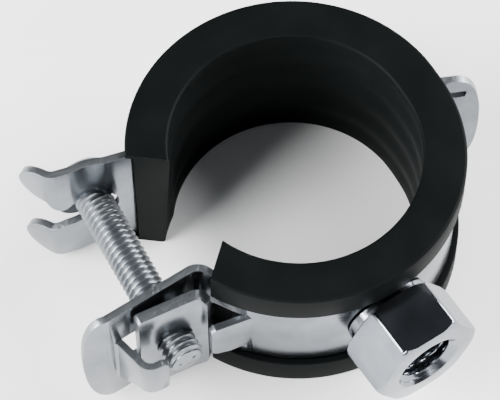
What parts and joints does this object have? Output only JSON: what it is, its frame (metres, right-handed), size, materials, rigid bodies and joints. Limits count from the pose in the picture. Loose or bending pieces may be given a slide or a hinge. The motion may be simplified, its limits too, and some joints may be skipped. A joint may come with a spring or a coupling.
{
  "type": "pipe clamp",
  "caption": "Rubber-lined hinged pipe clamp with a closing screw held in a forked flange, a swinging nut plate and a hexagon connection nut.",
  "frame": {"origin": "middle of the footprint, on the surface that the clamp lies on", "axes": "+Z along the pipe's axis, up out of the surface; the connection nut points along -Y; the screw flanges stick out along -X and the hinge is at +X"},
  "size_m": [0.0748, 0.0622, 0.0268],
  "materials": {
    "zinc_plated_strip": "bright electro-galvanised steel strip",
    "zinc_plated_nut": "bright electro-galvanised steel nut",
    "zinc_plated_screw": "bright electro-galvanised steel thread",
    "black_rubber": "matt black extruded rubber"
  },
  "bodies": {
    "front_half": {"front_band": "zinc_plated_strip", "front_insert": "black_rubber", "connection_nut": "zinc_plated_nut"},
    "rear_half": {"rear_band": "zinc_plated_strip", "rear_insert": "black_rubber"},
    "nut_plate": {"nut_plate": "zinc_plated_strip"},
    "screw_washer": {"screw_washer": "zinc_plated_screw"},
    "closure_screw": {"closure_screw": "zinc_plated_screw"}
  },
  "joints": [
    {"name": "clamp_hinge", "type": "hinge", "parent": "front_half", "child": "rear_half", "pos_m": [0.03212, 0.00239, 0.0134], "axis": [0, 0, 1], "range_deg": [-3, 16.5]},
    {"name": "nut_plate_swing", "type": "hinge", "parent": "front_half", "child": "nut_plate", "pos_m": [-0.02918, -0.00451, 0.0134], "axis": [0, 0, 1], "range_deg": [-1.2, 6.6]},
    {"name": "screw_feed", "type": "slide", "parent": "nut_plate", "child": "screw_washer", "axis": [-0.0993, -0.9951, 0], "range_m": [-0.0032, 0.0176]},
    {"name": "screw_turn", "type": "hinge", "parent": "screw_washer", "child": "closure_screw", "pos_m": [-0.02363, -0.00621, 0.0134], "axis": [-0.0993, -0.9951, 0], "range_deg": [-1152, 6336]}
  ],
  "couplings": [
    {"joint": "clamp_hinge", "follows": "screw_feed", "rad_per_m": 16.362},
    {"joint": "nut_plate_swing", "follows": "screw_feed", "rad_per_m": 6.5449},
    {"joint": "screw_turn", "follows": "screw_feed", "rad_per_m": 6283.2}
  ]
}
